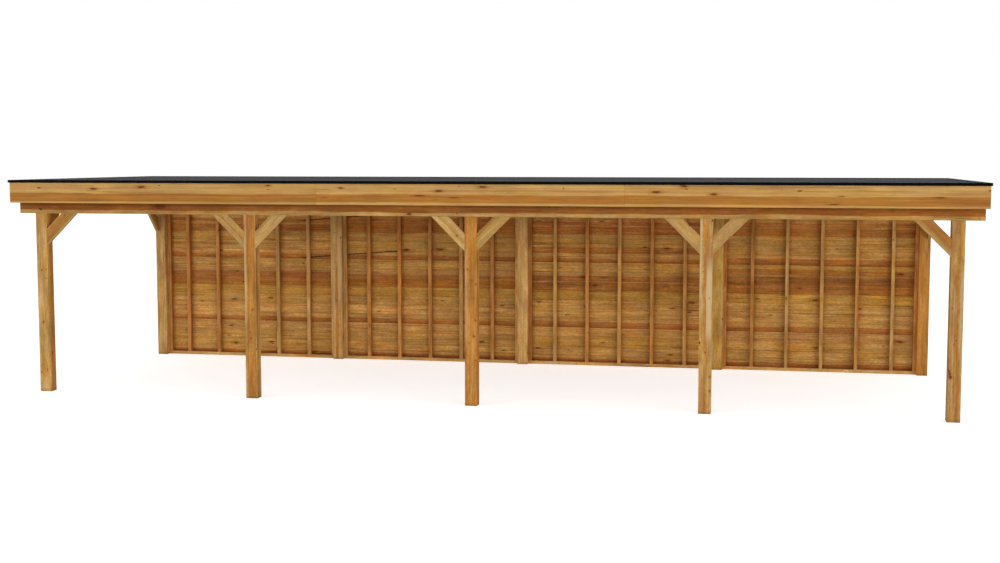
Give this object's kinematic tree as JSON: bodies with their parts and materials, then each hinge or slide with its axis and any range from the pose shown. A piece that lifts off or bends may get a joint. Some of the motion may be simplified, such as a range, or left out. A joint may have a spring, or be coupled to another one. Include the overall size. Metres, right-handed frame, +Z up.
{
  "type": "freestanding veranda",
  "caption": "Freestanding timber veranda with an open front, open ends, knee-braced posts, a boarded rear wall and a flat roof with a black membrane.",
  "frame": {"origin": "centre of the plan, on the ground", "axes": "+X along the length to the right of someone facing the open front from outside, +Y from the open front to the rear wall, +Z up"},
  "size_m": [11.63, 4.03, 2.668],
  "materials": {
    "post_timber": "planed, oiled",
    "beam_timber": "planed, oiled",
    "brace_timber": "planed, oiled",
    "stud_timber": "planed, oiled",
    "wall_boarding": "planed, oiled",
    "rafter_timber": "planed",
    "roof_boarding": "planed",
    "fascia_timber": "planed, oiled",
    "membrane": "matt",
    "edge_trim": "satin black"
  },
  "bodies": {
    "root": {"front_post_1": "post_timber", "front_post_2": "post_timber", "front_post_3": "post_timber", "front_post_4": "post_timber", "front_post_5": "post_timber", "rear_post_1": "post_timber", "rear_post_2": "post_timber", "rear_post_3": "post_timber", "rear_post_4": "post_timber", "rear_post_5": "post_timber", "front_beam": "beam_timber", "rear_beam": "beam_timber", "left_beam": "beam_timber", "right_beam": "beam_timber", "brace_1_right": "brace_timber", "brace_2_right": "brace_timber", "brace_3_right": "brace_timber", "brace_4_right": "brace_timber", "brace_2_left": "brace_timber", "brace_3_left": "brace_timber", "brace_4_left": "brace_timber", "brace_5_left": "brace_timber", "side_brace_front_left": "brace_timber", "side_brace_rear_left": "brace_timber", "side_brace_front_right": "brace_timber", "side_brace_rear_right": "brace_timber", "wall_frame_1": "stud_timber", "wall_frame_2": "stud_timber", "wall_frame_3": "stud_timber", "wall_frame_4": "stud_timber", "wall_boards_1": "wall_boarding", "wall_boards_2": "wall_boarding", "wall_boards_3": "wall_boarding", "wall_boards_4": "wall_boarding", "rafters": "rafter_timber", "roof_deck": "roof_boarding", "roof_membrane": "membrane", "fascia_front": "fascia_timber", "fascia_rear": "fascia_timber", "fascia_left": "fascia_timber", "fascia_right": "fascia_timber", "trim_front": "edge_trim", "trim_rear": "edge_trim", "trim_left": "edge_trim", "trim_right": "edge_trim"}
  },
  "joints": []
}
